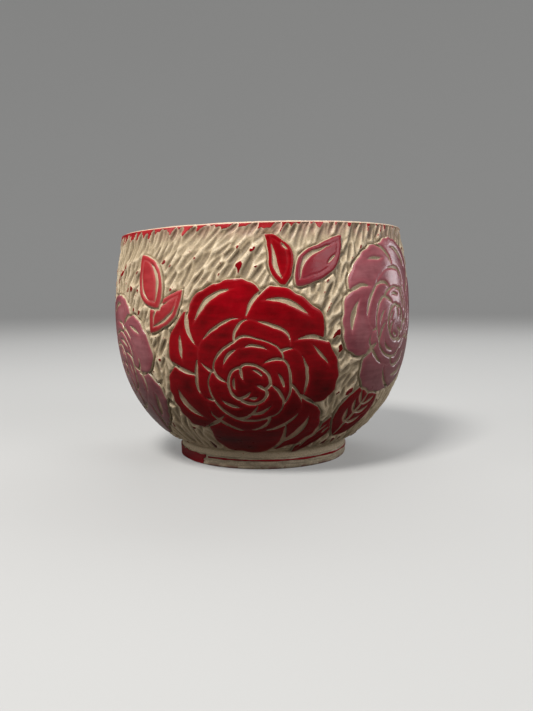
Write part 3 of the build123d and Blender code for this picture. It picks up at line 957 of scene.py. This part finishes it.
def foot_ring_mesh():
    """The trimmed ring: a closed turned section, slightly uneven, with the marks of the trimming tool."""
    recess = FOOT_RADIUS - FOOT_WIDTH
    shoulder = FOOT_HEIGHT - FOOT_SHOULDER
    section = [(recess, FOOT_HEIGHT), (recess, FOOT_HEIGHT / 2)]
    section += arc(recess + FOOT_ROUNDING, FOOT_ROUNDING, FOOT_ROUNDING, 180, 270, 6)
    section += [(recess + FOOT_WIDTH * share, 0.0) for share in (0.3, 0.5, 0.7)]
    section += arc(FOOT_RADIUS - FOOT_ROUNDING, FOOT_ROUNDING, FOOT_ROUNDING, 270, 360, 6)
    section += [(FOOT_RADIUS, z) for z in np.linspace(FOOT_ROUNDING, shoulder, 12)[1:]]
    section += arc(FOOT_RADIUS - FOOT_SHOULDER, shoulder, FOOT_SHOULDER, 0, 90, 4)[1:]
    section.append((JOINT_RADIUS - 0.5, FOOT_HEIGHT))
    foot = Turned()
    for r, z in section:
        ring = around(r, full_turn(FOOT_COLUMNS), z)
        if r > FOOT_RADIUS - 0.45 and z > 0:
            uneven = layers(ring, (0.10, 5.0, 51)) + layers(ring * (1, 1, 6), (0.05, 1.5, 52)) - FOOT_DRAW
            ring[:, :2] *= 1 + uneven[:, None] / FOOT_RADIUS
        foot.ring(ring)
    foot.rings.append(foot.rings[0])
    foot.join()
    points, faces = foot.mesh()
    return points, faces, {"cavity": np.full(len(points), 0.25)}


def foot_paint(start, end, field):
    """A painted part of the foot ring, where the field is above zero."""
    x_line = np.arange(start * FOOT_RADIUS - PAINT_MARGIN, end * FOOT_RADIUS + PAINT_MARGIN, PAINT_PITCH)
    y_line = np.linspace(0.02, FOOT_HEIGHT - 0.1, 28)
    x, y = (line.ravel() for line in np.meshgrid(x_line, y_line))
    flat, triangles = clipped(np.stack([x, y], 1), field(x, y), grid_triangles(len(y_line), len(x_line)))
    places, rings, faces = slab(flat, triangles, PAINT_GROWTHS)
    z = np.clip(places[:, 1], 0, FOOT_HEIGHT)
    points = foot_surface(places[:, 0] / FOOT_RADIUS, z, by_ring(rings, *PAINT_LIFTS))
    return points, faces, {"slip": rings < 2, "inside": np.ones(len(z))}


def patch_field(x, y):
    ragged = layers(foot_surface(x / FOOT_RADIUS, y), (1.2, 1.7, 61), (0.5, 0.6, 62))
    left = x - PATCH_START * FOOT_RADIUS
    right = PATCH_END * FOOT_RADIUS + 0.7 - x - (FOOT_HEIGHT - y) * 0.4
    edges = np.minimum(y - 0.25, FOOT_HEIGHT - 0.2 - y)
    return np.minimum(np.minimum(left, right) + ragged, edges + 0.1 * ragged)


def line_field(x, y):
    place = foot_surface(x / FOOT_RADIUS, y)
    middle = LINE_HEIGHT + layers(place, (0.12, 6.0, 63))
    width = LINE_WIDTH * (0.42 + layers(place, (0.30, 4.0, 64), (0.12, 1.0, 65)))
    ends = np.minimum(x - PATCH_END * FOOT_RADIUS - LINE_GAP, LINE_END * FOOT_RADIUS - x)
    return np.minimum(width - np.abs(y - middle), ends)


def liner_mesh():
    """The glassy skin inside, with the potter's throwing spiral showing through."""
    def lining(depth):
        rises = (depth, depth, 0, 0)
        return bezier([(r - depth, z + rise) for (r, z), rise in zip(INSIDE_CURVE, rises)], 90)

    azimuth = full_turn(LINER_COLUMNS)
    top = CUP_HEIGHT - GLAZE_DROP
    liner = Turned()

    def add_ring(r, z, wave):
        level = min(z, top) + tilt_share(z) * (rim_height(azimuth) - CUP_HEIGHT)
        spiral = 0.5 + 0.5 * np.cos(2 * pi * level / THROWING_STEP + azimuth)
        liner.ring(around(r - wave * THROWING_DEPTH * spiral, azimuth, level))

    back, front = lining(GLAZE_CLEARANCE), lining(GLAZE_CLEARANCE + GLAZE_THICKNESS)
    for path, wave in ((back, 0), (front[::-1], 1)):
        for r, z in path:
            if z <= top:
                add_ring(r, z, wave)
    for share in (0.75, 0.5, 0.25):
        add_ring(front[0][0] * share, front[0][1] + LINER_DISH * (1 - share), 0.4)
    liner.join()
    liner.cap(liner.rings[-1], front[0][1] + LINER_DISH)
    liner.cap(liner.rings[0][::-1], back[0][1])
    points, faces = liner.mesh()
    return points, faces, {"cavity": np.zeros(len(points))}


# Materials

class Nodes:
    """Builds a material's node tree a node at a time."""

    def __init__(self, name):
        self.material = bpy.data.materials.new(name)
        self.material.use_nodes = True
        self.tree = self.material.node_tree
        self.tree.nodes.clear()
        self.shader = self.add("BsdfPrincipled")
        self.add("OutputMaterial", {"Surface": self.shader.outputs[0]})
        self.place = self.add("TexCoord").outputs["Object"]

    def add(self, kind, inputs=None, **settings):
        """A node with these settings, and with these inputs linked to a socket or set to a value."""
        node = self.tree.nodes.new(f"ShaderNode{kind}")
        for name, value in settings.items():
            setattr(node, name, value)
        self.fill(node, inputs or {})
        return node

    def fill(self, node, inputs):
        for name, source in inputs.items():
            if hasattr(source, "is_linked"):
                self.tree.links.new(source, node.inputs[name])
            else:
                node.inputs[name].default_value = source

    def shade(self, inputs):
        self.fill(self.shader, inputs)
        return self.material

    def attribute(self, name):
        return self.add("Attribute", attribute_name=name).outputs["Fac"]

    def noise(self, size, detail=3.0, roughness=0.5, stretch=None):
        place = self.place
        if stretch:
            place = self.add("Mapping", {"Vector": place, "Scale": stretch}).outputs[0]
        inputs = {"Vector": place, "Scale": 1 / (size * MM), "Detail": detail, "Roughness": roughness}
        return self.add("TexNoise", inputs).outputs["Fac"]

    def cells(self, size):
        return self.add("TexVoronoi", {"Vector": self.place, "Scale": 1 / (size * MM)}).outputs["Distance"]

    def ramp(self, source, *stops):
        node = self.add("ValToRGB", {"Fac": source})
        elements = node.color_ramp.elements
        for k, (place, value) in enumerate(stops):
            element = elements[k] if k < 2 else elements.new(place)
            element.position = place
            colour = value if isinstance(value, tuple) else (value, value, value)
            element.color = (*colour, 1)
        return node.outputs["Color"]

    def mix(self, share, a, b, kind="MIX"):
        a, b = ((*source, 1) if isinstance(source, tuple) else source for source in (a, b))
        inputs = {"Factor": share, "A": a, "B": b}
        return self.add("Mix", inputs, data_type="RGBA", blend_type=kind).outputs["Result"]

    def tinted(self, colour, tint):
        return self.mix(1.0, colour, tint, "MULTIPLY")

    def maths(self, operation, a, b, clamp=False):
        return self.add("Math", {0: a, 1: b}, operation=operation, use_clamp=clamp).outputs[0]

    def product(self, a, b):
        return self.maths("MULTIPLY", a, b)

    def centred(self, size, detail, roughness, height):
        """Noise about zero, up to this high."""
        return self.product(self.maths("SUBTRACT", self.noise(size, detail, roughness), 0.5), height)

    def height_share(self, total):
        """The height of a place as a share of a total."""
        height = self.add("SeparateXYZ", {0: self.place}).outputs["Z"]
        return self.maths("DIVIDE", height, total * MM)

    def painted_shade_below(self, low_share):
        """Full strength high on the wall and this share of it low down: painted shade, where the lower wall
        gets less light.
        """
        return self.ramp(self.height_share(CUP_HEIGHT), (0.28, low_share), (0.74, 1.0))

    def bump(self, height, distance, strength, under=None):
        inputs = {"Distance": distance * MM, "Strength": strength, "Height": height}
        if under is not None:
            inputs["Normal"] = under
        return self.add("Bump", inputs).outputs[0]


def scaled(colour, share):
    return tuple(c * share for c in colour)


CREAM = (0.72, 0.58, 0.395)
BUFF = (0.50, 0.385, 0.24)
# The deepest hollows' colour: partly glaze pooled there, partly painted shade
HOLLOW_GLAZE_AND_SHADE = (0.25, 0.185, 0.11)
SPECK = (0.12, 0.07, 0.035)
RED_STAIN = (0.30, 0.02, 0.02)
FOOT_STAIN = (0.16, 0.03, 0.022)
# painted shade on the floors of the strokes inside the islands
STROKE_SHADE = (0.21, 0.09, 0.05)
BLUSH = (0.56, 0.24, 0.22)
BARE_DARK, BARE_PALE = (0.42, 0.33, 0.21), (0.62, 0.52, 0.37)
GLAZE_SPECK = (0.30, 0.20, 0.11)


def clay(name, stain_share=0.58, low_stain=0.0):
    """Cream on the ridges and browner in the hollows, partly glaze pooled there and partly painted shade, with
    painted shade low on the wall and on the strokes' floors under the islands; mottled and speckled, with
    stains of slip and a blush under the lip. Low stain is how much of the slip's colour runs round the bottom
    of the foot."""
    nodes = Nodes(name)
    cavity = nodes.attribute("cavity")
    height = nodes.height_share(CUP_HEIGHT)
    share = nodes.maths("ADD", cavity, nodes.centred(2.2, 4.0, 0.6, 0.5), clamp=True)
    # Cream on the ridges to browner in the hollows: partly glaze pooled there, partly painted shade
    colour = nodes.ramp(share, (0.18, CREAM), (0.85, HOLLOW_GLAZE_AND_SHADE), (0.5, BUFF))
    grain = nodes.ramp(nodes.noise(0.35, 3.0, 0.7), (0.3, 0.66), (0.7, 1.10))
    # painted shade: the clay's grain darker low on the wall
    colour = nodes.tinted(colour, nodes.tinted(grain, nodes.painted_shade_below(0.84)))
    specks = nodes.ramp(nodes.cells(1.7), (0.045, 1.0), (0.085, 0.0))
    colour = nodes.mix(nodes.product(specks, 0.7), colour, SPECK)
    # painted shade: the floors of the strokes inside the islands darker, the more so low on the wall
    low_stroke_shade = nodes.ramp(height, (0.15, 0.62), (0.72, 0.12))
    colour = nodes.mix(nodes.product(nodes.attribute("cut"), low_stroke_shade), colour, STROKE_SHADE)
    stain = nodes.ramp(nodes.noise(1.1, 4.0, 0.65), (stain_share + 0.06, 0.0), (stain_share + 0.10, 1.0))
    ridge = nodes.ramp(cavity, (0.22, 1.0), (0.36, 0.0))
    colour = nodes.mix(nodes.product(stain, ridge), colour, RED_STAIN)
    blush = nodes.ramp(height, (0.93, 0.0), (0.985, 0.42))
    thin = nodes.ramp(nodes.noise(4.0, 4.0, 0.65), (0.38, 0.0), (0.62, 1.0))
    colour = nodes.mix(nodes.product(blush, thin), colour, BLUSH)
    if low_stain:
        strokes = nodes.noise(5.0, 4.0, 0.7, stretch=(1, 1, 9))
        colour = nodes.tinted(colour, nodes.ramp(strokes, (0.42, 0.62), (0.60, 1.0)))
        low = nodes.ramp(nodes.height_share(FOOT_HEIGHT), (0.10, low_stain), (0.34, 0.0))
        patches = nodes.ramp(nodes.noise(3.4, 4.0, 0.7), (0.44, 0.0), (0.54, 1.0))
        colour = nodes.mix(nodes.product(low, patches), colour, FOOT_STAIN)
    fine = nodes.bump(nodes.noise(0.28, 2.0), 0.08, 0.8)
    return nodes.shade({
        "Base Color": colour,
        "Roughness": nodes.ramp(nodes.noise(0.9), (0.3, 0.48), (0.7, 0.66)),
        "Normal": nodes.bump(nodes.noise(1.2, 3.0), 0.10, 0.6, under=fine),
        "Coat Weight": 0.10,
        "Coat Roughness": 0.3,
    })


def slip(name, deep, fresh, worn, thinned, gloss, low_share=0.5):
    """Coloured slip under a satin gloss, with the pale clay showing on the cut edges. Its colours are deep and
    fresh, worn at the very edge and in specks, and thinned towards an edge."""
    nodes = Nodes(name)
    inside = nodes.attribute("inside")
    brush = nodes.noise(3.0, 3.0, 0.6, stretch=(0.35, 0.35, 2.2))
    cloud = nodes.maths("ADD", nodes.product(nodes.noise(9.0, 3.0, 0.55), 0.65), nodes.product(brush, 0.35))
    colour = nodes.ramp(cloud, (0.36, deep), (0.64, fresh))
    colour = nodes.mix(nodes.ramp(nodes.noise(0.8, 4.0, 0.7), (0.60, 0.0), (0.78, 0.35)), colour, worn)
    colour = nodes.mix(nodes.ramp(inside, (0.15, 0.4), (1.0, 0.0)), colour, thinned)
    colour = nodes.mix(nodes.ramp(inside, (0.0, 0.55), (0.22, 0.0)), colour, worn)
    # painted shade: the slip darker low on the wall, down to its low share
    colour = nodes.tinted(colour, nodes.painted_shade_below(low_share))
    cover = nodes.maths("ADD", nodes.attribute("slip"), nodes.centred(0.6, 3.0, 0.5, 0.5))
    bare = nodes.ramp(nodes.noise(0.5, 3.0, 0.7), (0.3, BARE_DARK), (0.7, BARE_PALE))
    # painted shade: the bare clay on the cut edges darker low on the wall
    bare = nodes.tinted(bare, nodes.painted_shade_below(0.5))
    fine = nodes.bump(nodes.noise(0.5, 3.0), 0.02, 0.6)
    return nodes.shade({
        "Base Color": nodes.mix(nodes.ramp(cover, (0.40, 0.0), (0.52, 1.0)), bare, colour),
        "Roughness": nodes.ramp(nodes.noise(2.5, 4.0), (0.3, 0.26), (0.7, 0.40)),
        "Normal": nodes.bump(nodes.noise(3.0, 2.0, 0.5, stretch=(1, 1, 1.8)), 0.12, 0.7, under=fine),
        "Specular IOR Level": 0.10,
        "Coat Weight": gloss,
        "Coat Roughness": 0.16,
    })


def glaze(name, colour):
    """A glossy, slightly wavy skin with a few brown specks."""
    nodes = Nodes(name)
    tint = nodes.ramp(nodes.noise(12.0, 3.0), (0.3, colour), (0.7, scaled(colour, 0.92)))
    specks = nodes.ramp(nodes.cells(3.1), (0.03, 1.0), (0.05, 0.0))
    return nodes.shade({
        "Base Color": nodes.mix(nodes.product(specks, 0.55), tint, GLAZE_SPECK),
        "Roughness": 0.16,
        "Normal": nodes.bump(nodes.noise(5.0, 2.0), 0.08, 0.5),
        "Coat Weight": 0.6,
        "Coat Roughness": 0.06,
    })


def paper(name, seen, thrown, glow):
    """Pale to the camera, and darker to the light that it throws up under the cup."""
    nodes = Nodes(name)
    camera_ray = nodes.add("LightPath").outputs["Is Camera Ray"]
    tint = nodes.ramp(nodes.noise(300.0, 2.0), (0.3, seen), (0.7, scaled(seen, 0.97)))
    return nodes.shade({
        "Base Color": nodes.mix(camera_ray, thrown, tint),
        "Emission Strength": nodes.product(camera_ray, glow),
        "Emission Color": (*seen, 1),
        "Roughness": 0.9,
    })


carved_clay = clay("carved_clay")
foot_clay = clay("foot_clay", 0.62, low_stain=0.85)
crimson = slip("crimson_slip", (0.11, 0.001, 0.002), (0.31, 0.001, 0.006), (0.38, 0.02, 0.025),
               (0.36, 0.002, 0.007), 0.08)
plum = slip("plum_slip", (0.22, 0.052, 0.066), (0.46, 0.160, 0.180), (0.48, 0.18, 0.19),
            (0.42, 0.080, 0.105), 0.4, 0.42)
dusk = slip("dusk_slip", (0.24, 0.003, 0.010), (0.21, 0.038, 0.052), (0.34, 0.09, 0.10),
            (0.26, 0.02, 0.03), 0.3)
# painted highlight: the buds on the lit upper left get a lighter, pinker copy of the crimson slip
lit_crimson = slip("lit_crimson_slip", (0.26, 0.012, 0.016), (0.44, 0.045, 0.050), (0.52, 0.14, 0.13),
            (0.40, 0.02, 0.025), 0.15)
thin_slip = slip("thin_slip", (0.27, 0.008, 0.012), (0.48, 0.030, 0.035), (0.58, 0.24, 0.21),
                 (0.48, 0.030, 0.035), 0.2)
foot_slip = slip("foot_slip", (0.16, 0.004, 0.008), (0.30, 0.012, 0.018), (0.42, 0.10, 0.09),
                 (0.30, 0.012, 0.018), 0.2, 1.0)
liner_glaze = glaze("liner_glaze", (0.80, 0.755, 0.65))
slips = {"crimson_slip": crimson, "plum_slip": plum}
# painted highlight on the two buds: their lighter copy of the crimson slip
slips_of_leaves = {"leaf_leaning": dusk, "bud_high": lit_crimson, "bud_low": lit_crimson}


# The pieces

def add_piece(name, node, material, built):
    """A finished piece in place of a node of the solids."""
    points, faces, attributes = built
    piece = make_object(name, points, faces, material, attributes)
    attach(piece, "root")
    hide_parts(node)


for k, motif in enumerate(motifs):
    for node, drawing in motif.pieces:
        material = slips_of_leaves.get(node, slips[motif.slot])
        add_piece(f"carved_{node}", node, material, island(motif, drawing, motifs[:k]))

band_end = LIP_DROP + BAND_REACH
for node, slot, material, built in (
    ("clay_wall", "clay", carved_clay, clay_wall_mesh()),
    ("foot_ring", "clay", foot_clay, foot_ring_mesh()),
    ("liner_glaze", "liner_glaze", liner_glaze, liner_mesh()),
    ("rim_slip_band", "rim_slip", thin_slip, slip_left(band_end, LIP_DROP * 0.9)),
    ("slip_flecks", "crimson_slip", crimson, slip_left(CUP_HEIGHT, band_end)),
    ("foot_slip_patch", "crimson_slip", foot_slip, foot_paint(PATCH_START, PATCH_END, patch_field)),
    ("foot_slip_line", "crimson_slip", foot_slip, foot_paint(PATCH_END, LINE_END, line_field)),
):
    add_piece(f"shaped_{node}", node, material, built)

# The stage

SWEEP_FLAT = 200.0
SWEEP_START = 1300.0
SWEEP_RADIUS = 1000.0
SWEEP_TOP = 3000.0
SWEEP_COLUMNS = 96


def sweep():
    """A paper floor that curves up all round, so that every side of the cup has the same backdrop."""
    section = [(SWEEP_FLAT, 0.0), *arc(SWEEP_START, SWEEP_RADIUS, SWEEP_RADIUS, 270, 360, 16)]
    floor = Turned()
    for r, z in [*section, (SWEEP_START + SWEEP_RADIUS, SWEEP_TOP)]:
        floor.ring(around(r, full_turn(SWEEP_COLUMNS), z))
    floor.join()
    floor.faces.append(floor.rings[0][::-1])
    material = paper("floor_paper", (0.34, 0.34, 0.335), (0.15, 0.14, 0.13), 0.55)
    return make_object("floor", *floor.mesh(), material, {})


sweep()

world = bpy.data.worlds.new("studio")
bpy.context.scene.world = world
world.use_nodes = True
background = world.node_tree.nodes["Background"]
background.inputs["Color"].default_value = (0.93, 0.96, 1.0, 1)
background.inputs["Strength"].default_value = 0.22


def softbox(name, place, size, power, colour=(1, 1, 1)):
    """A rectangular lamp that faces the middle of the cup, in metres and watts."""
    light = bpy.data.lights.new(name, "AREA")
    light.shape = "RECTANGLE"
    light.size, light.size_y = size
    light.energy = power
    light.color = colour
    lamp = bpy.data.objects.new(name, light)
    lamp.location = place
    lamp.rotation_euler = (Vector(CENTRE) - Vector(place)).to_track_quat("-Z", "Y").to_euler()
    bpy.context.collection.objects.link(lamp)


CENTRE = (0, 0, 0.035)
softbox("key", (-0.24, -0.40, 0.66), (0.20, 0.20), 7.2, (1.0, 0.98, 0.95))
softbox("side", (-0.75, -0.22, 0.34), (0.3, 0.5), 1.4, (1.0, 0.99, 0.97))
softbox("fill", (0.62, -0.50, 0.42), (0.4, 0.5), 2.6, (0.97, 0.98, 1.0))
softbox("window", (0.72, 0.36, 0.10), (0.22, 0.24), 0.9, (0.97, 0.98, 1.0))
softbox("back", (0.1, 0.42, 0.60), (0.7, 0.3), 2.2)

# The camera stands where the photograph was taken. Its focal length is a share of the picture's height.

CAMERA_PLACE = Vector((1.216, -224.592, 51.669)) * MM
CAMERA_RIGHT = Vector((0.999968, -0.000741, -0.007916))
CAMERA_UP = Vector((0.007951, 0.093253, 0.995611))
FOCAL_SHARE = 700 / 711
SENSOR = 36

camera_data = bpy.data.cameras.new("camera")
camera_data.sensor_width = SENSOR
camera_data.lens = SENSOR * FOCAL_SHARE
camera_data.clip_start = 0.01
camera = bpy.data.objects.new("camera", camera_data)
axes = Matrix((CAMERA_RIGHT, CAMERA_UP, CAMERA_RIGHT.cross(CAMERA_UP))).transposed()
camera.matrix_world = Matrix.Translation(CAMERA_PLACE) @ axes.to_4x4()
bpy.context.collection.objects.link(camera)
bpy.context.scene.camera = camera
bpy.context.scene.view_settings.view_transform = "Standard"
